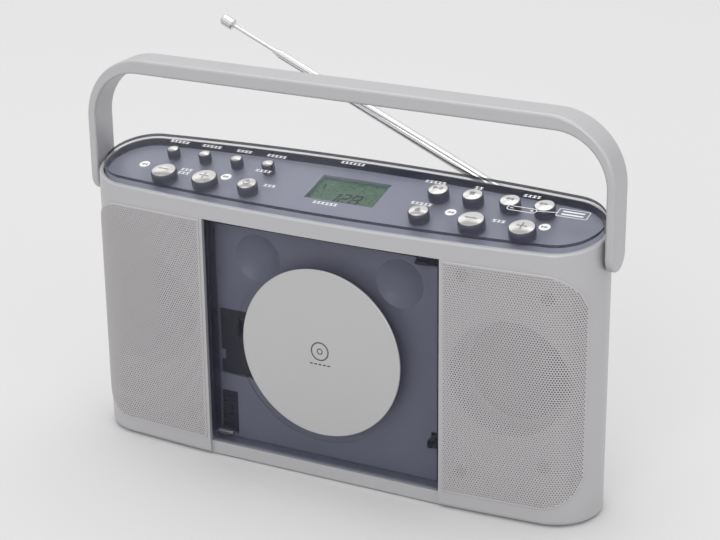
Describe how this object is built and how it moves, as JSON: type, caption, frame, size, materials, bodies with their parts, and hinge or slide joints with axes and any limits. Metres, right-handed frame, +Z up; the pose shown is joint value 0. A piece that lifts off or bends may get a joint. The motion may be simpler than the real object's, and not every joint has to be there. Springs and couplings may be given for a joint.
{
  "type": "portable cd radio",
  "caption": "portable CD radio with a vertical disc door behind clear plastic, round-ended case, side speakers, sloping key panel, bail handle and telescopic antenna",
  "frame": {"origin": "on the table, under the middle of the case", "axes": "+X across the width, to the right as seen from the front; -Y towards the listener; +Z up"},
  "size_m": [0.342, 0.078, 0.2586],
  "materials": {
    "case_silver": "satin silver lacquer on moulded polystyrene",
    "grille_metal": "perforated steel, satin silver lacquer",
    "smoke_clear": "smoke-blue clear acrylic",
    "deck_black": "dark blue-grey moulded plastic",
    "key_silver": "satin metallised cap",
    "display_green": "reflective liquid crystal",
    "black_plastic": "black moulded plastic",
    "board_green": "glass-fibre board with solder mask",
    "steel": "bright steel",
    "chrome": "chromed brass tube",
    "rubber": "soft rubber",
    "paper_cone": "pressed paper",
    "white_plastic": "white acetal",
    "lens_blue": "coated lens"
  },
  "bodies": {
    "case": {"front_cabinet": "case_silver", "rear_cabinet": "case_silver", "left_grille": "grille_metal", "right_grille": "grille_metal", "speaker_frames": "steel", "left_speaker_cone": "paper_cone", "right_speaker_cone": "paper_cone", "speaker_magnets": "steel", "control_deck": "deck_black", "top_cover": "smoke_clear", "display_frame": "black_plastic", "display_glass": "display_green", "key_board": "board_green", "key_switches": "black_plastic", "cd_deck": "deck_black", "door_hinge_pins": "steel", "deck_masks": "black_plastic", "door_spring": "steel", "spindle_motor": "steel", "guide_rods": "steel", "sled_motor": "steel", "main_board": "board_green", "power_transformer": "steel", "battery_case": "black_plastic", "battery_contacts": "steel", "power_inlet": "black_plastic", "headphone_socket": "black_plastic", "rubber_feet": "rubber", "case_screws": "steel"},
    "carrying_handle": {"handle": "case_silver", "handle_pins": "steel"},
    "door": {"cd_door": "smoke_clear", "door_disc_plate": "case_silver", "door_rack": "black_plastic", "door_latch": "black_plastic"},
    "damper": {"damper_gear": "black_plastic"},
    "disc_table": {"turntable": "black_plastic"},
    "pickup": {"pickup_carriage": "black_plastic", "pickup_lens": "lens_blue"},
    "sled_wheel": {"sled_gear": "white_plastic"},
    "battery_hatch": {"battery_door": "case_silver"},
    "antenna_foot": {"antenna_swivel": "chrome", "antenna_pin": "chrome"},
    "antenna_base_rod": {"antenna_lower": "chrome"},
    "antenna_middle_rod": {"antenna_middle": "chrome"},
    "antenna_tip_rod": {"antenna_tip": "chrome"},
    "sound_key_cap": {"sound_key": "key_silver"},
    "ab_repeat_key_cap": {"ab_repeat_key": "key_silver"},
    "repeat_key_cap": {"repeat_key": "key_silver"},
    "program_key_cap": {"program_key": "key_silver"},
    "slower_key_cap": {"slower_key": "key_silver"},
    "faster_key_cap": {"faster_key": "key_silver"},
    "power_key_cap": {"power_key": "key_silver"},
    "play_key_cap": {"play_key": "key_silver"},
    "stop_key_cap": {"stop_key": "key_silver"},
    "skip_back_key_cap": {"skip_back_key": "key_silver"},
    "skip_forward_key_cap": {"skip_forward_key": "key_silver"},
    "door_open_key_cap": {"door_open_key": "key_silver"},
    "volume_down_key_cap": {"volume_down_key": "key_silver"},
    "volume_up_key_cap": {"volume_up_key": "key_silver"}
  },
  "joints": [
    {"name": "handle_swing", "type": "hinge", "parent": "case", "child": "carrying_handle", "pos_m": [0, 0, 0.161], "axis": [1, 0, 0], "range_deg": [-12, 90]},
    {"name": "door_swing", "type": "hinge", "parent": "case", "child": "door", "pos_m": [0, -0.025, 0.0145], "axis": [1, 0, 0], "range_deg": [0, 30]},
    {"name": "damper_spin", "type": "hinge", "parent": "case", "child": "damper", "pos_m": [0.0695, -0.00849, 0.04092], "axis": [1, 0, 0], "range_deg": [-103, 0.1]},
    {"name": "disc_spin", "type": "hinge", "parent": "case", "child": "disc_table", "pos_m": [0, -0.0212, 0.0818], "axis": [0, 1, 0], "continuous": true},
    {"name": "pickup_slide", "type": "slide", "parent": "case", "child": "pickup", "axis": [1, 0, 0], "range_m": [-0.018, 0.014]},
    {"name": "sled_spin", "type": "hinge", "parent": "case", "child": "sled_wheel", "pos_m": [-0.0435, -0.0115, 0.11375], "axis": [0, 1, 0], "range_deg": [-125.5, 161.3]},
    {"name": "battery_hatch_swing", "type": "hinge", "parent": "case", "child": "battery_hatch", "pos_m": [0, 0.0324, 0.011], "axis": [-1, 0, 0], "range_deg": [0, 95]},
    {"name": "antenna_turn", "type": "hinge", "parent": "case", "child": "antenna_foot", "pos_m": [0.111, 0.04, 0.16], "axis": [0, 1, 0], "range_deg": [-24.2, 155.8]},
    {"name": "antenna_fold", "type": "hinge", "parent": "antenna_foot", "child": "antenna_base_rod", "pos_m": [0.111, 0.04, 0.16], "axis": [-0.4099, 0, -0.9121], "range_deg": [0, 90]},
    {"name": "antenna_middle_slide", "type": "slide", "parent": "antenna_base_rod", "child": "antenna_middle_rod", "axis": [-0.9121, 0, 0.4099], "range_m": [-0.046, 0.085]},
    {"name": "antenna_tip_slide", "type": "slide", "parent": "antenna_middle_rod", "child": "antenna_tip_rod", "axis": [-0.9121, 0, 0.4099], "range_m": [-0.03, 0.088]},
    {"name": "sound_key_press", "type": "slide", "parent": "case", "child": "sound_key_cap", "axis": [0, 0.2385, -0.9711], "range_m": [0, 0.0008], "stiffness_N_per_m": 600, "springref_m": -0.0003},
    {"name": "ab_repeat_key_press", "type": "slide", "parent": "case", "child": "ab_repeat_key_cap", "axis": [0, 0.2385, -0.9711], "range_m": [0, 0.0008], "stiffness_N_per_m": 600, "springref_m": -0.0003},
    {"name": "repeat_key_press", "type": "slide", "parent": "case", "child": "repeat_key_cap", "axis": [0, 0.2385, -0.9711], "range_m": [0, 0.0008], "stiffness_N_per_m": 600, "springref_m": -0.0003},
    {"name": "program_key_press", "type": "slide", "parent": "case", "child": "program_key_cap", "axis": [0, 0.2385, -0.9711], "range_m": [0, 0.0008], "stiffness_N_per_m": 600, "springref_m": -0.0003},
    {"name": "slower_key_press", "type": "slide", "parent": "case", "child": "slower_key_cap", "axis": [0, 0.2385, -0.9711], "range_m": [0, 0.0008], "stiffness_N_per_m": 600, "springref_m": -0.0003},
    {"name": "faster_key_press", "type": "slide", "parent": "case", "child": "faster_key_cap", "axis": [0, 0.2385, -0.9711], "range_m": [0, 0.0008], "stiffness_N_per_m": 600, "springref_m": -0.0003},
    {"name": "power_key_press", "type": "slide", "parent": "case", "child": "power_key_cap", "axis": [0, 0.2385, -0.9711], "range_m": [0, 0.0008], "stiffness_N_per_m": 600, "springref_m": -0.0003},
    {"name": "play_key_press", "type": "slide", "parent": "case", "child": "play_key_cap", "axis": [0, 0.2385, -0.9711], "range_m": [0, 0.0008], "stiffness_N_per_m": 600, "springref_m": -0.0003},
    {"name": "stop_key_press", "type": "slide", "parent": "case", "child": "stop_key_cap", "axis": [0, 0.2385, -0.9711], "range_m": [0, 0.0008], "stiffness_N_per_m": 600, "springref_m": -0.0003},
    {"name": "skip_back_key_press", "type": "slide", "parent": "case", "child": "skip_back_key_cap", "axis": [0, 0.2385, -0.9711], "range_m": [0, 0.0008], "stiffness_N_per_m": 600, "springref_m": -0.0003},
    {"name": "skip_forward_key_press", "type": "slide", "parent": "case", "child": "skip_forward_key_cap", "axis": [0, 0.2385, -0.9711], "range_m": [0, 0.0008], "stiffness_N_per_m": 600, "springref_m": -0.0003},
    {"name": "door_open_key_press", "type": "slide", "parent": "case", "child": "door_open_key_cap", "axis": [0, 0.2385, -0.9711], "range_m": [0, 0.0008], "stiffness_N_per_m": 600, "springref_m": -0.0003},
    {"name": "volume_down_key_press", "type": "slide", "parent": "case", "child": "volume_down_key_cap", "axis": [0, 0.2385, -0.9711], "range_m": [0, 0.0008], "stiffness_N_per_m": 600, "springref_m": -0.0003},
    {"name": "volume_up_key_press", "type": "slide", "parent": "case", "child": "volume_up_key_cap", "axis": [0, 0.2385, -0.9711], "range_m": [0, 0.0008], "stiffness_N_per_m": 600, "springref_m": -0.0003}
  ],
  "couplings": [
    {"joint": "damper_spin", "follows": "door_swing", "ratio": -3.4286},
    {"joint": "sled_spin", "follows": "pickup_slide", "rad_per_m": -156.25}
  ]
}
